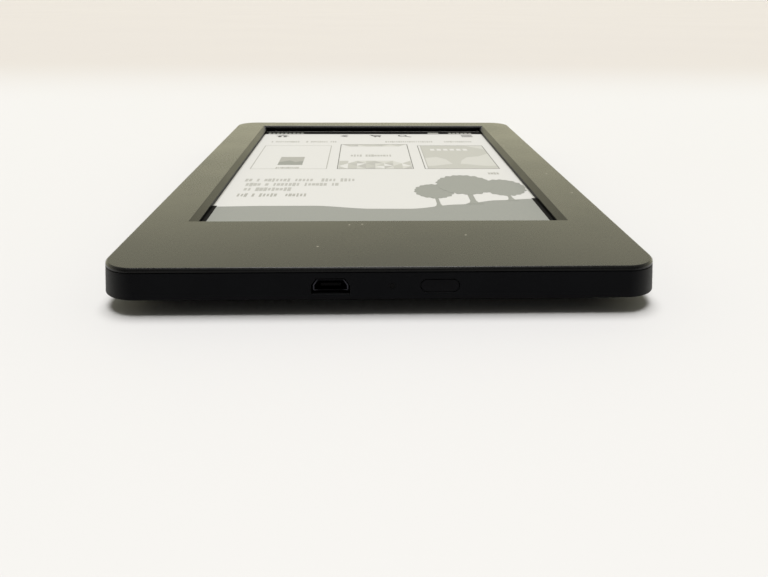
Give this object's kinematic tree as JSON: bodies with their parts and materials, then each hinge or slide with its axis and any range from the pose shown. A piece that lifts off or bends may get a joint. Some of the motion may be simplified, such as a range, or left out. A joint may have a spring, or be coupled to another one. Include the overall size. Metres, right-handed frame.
{
  "type": "e-reader",
  "caption": "Slim handheld reader: recessed paper-like screen in a matte black case with leaning walls, bevelled back, charging socket and a power button on the bottom edge.",
  "frame": {"origin": "centre of the footprint, in the plane of the flat rear face", "axes": "+Z out of the screen, +Y towards the top edge, -Y towards the bottom edge with the charging socket, +X to the right when the screen is read"},
  "size_m": [0.119, 0.169, 0.0102],
  "materials": {
    "case_plastic": "fine matte moulded",
    "bezel_plastic": "fine matte moulded, soft sheen",
    "magnesium": "as cast",
    "display_film": "matte electronic paper",
    "panel_glass": "ground edges",
    "foam_tape": "matte",
    "flex_film": "satin",
    "infrared_plastic": "polished",
    "circuit_board": "solder mask",
    "emitter_resin": "clear resin",
    "receiver_resin": "dark resin",
    "chip_resin": "moulded",
    "tinned_steel": "bright tin plate",
    "lead_sleeve": "smooth",
    "connector_plastic": "moulded",
    "pouch_foil": "satin foil",
    "red_sleeve": "smooth",
    "plated_steel": "black nickel plate",
    "black_nylon": "moulded",
    "button_plastic": "satin",
    "led_resin": "clear resin",
    "smoked_acrylic": "smoked, satin face",
    "screw_steel": "plated"
  },
  "bodies": {
    "case": {"rear_cover": "case_plastic", "front_bezel": "bezel_plastic", "chassis": "magnesium", "display_film": "display_film", "display_panel": "panel_glass", "display_gasket": "foam_tape", "display_flex": "flex_film", "light_guide": "infrared_plastic", "touch_board": "circuit_board", "ir_emitters": "emitter_resin", "ir_receivers": "receiver_resin", "touch_flex": "flex_film", "main_board": "circuit_board", "processor": "chip_resin", "memory_chips": "chip_resin", "shield_can": "tinned_steel", "wifi_module": "tinned_steel", "antenna": "flex_film", "antenna_lead": "lead_sleeve", "board_connectors": "connector_plastic", "battery_cell": "pouch_foil", "battery_circuit": "circuit_board", "battery_lead": "red_sleeve", "battery_pad": "foam_tape", "usb_shell": "plated_steel", "usb_tongue": "black_nylon", "power_switch": "black_nylon", "charge_led": "led_resin", "light_pipe": "smoked_acrylic", "frame_screws": "screw_steel", "board_screws": "screw_steel"},
    "power_key": {"power_button": "button_plastic", "switch_plunger": "connector_plastic"}
  },
  "joints": [
    {"name": "power_press", "type": "slide", "parent": "case", "child": "power_key", "axis": [0, 1, 0], "range_m": [0, 0.00035], "stiffness_N_per_m": 5000}
  ]
}
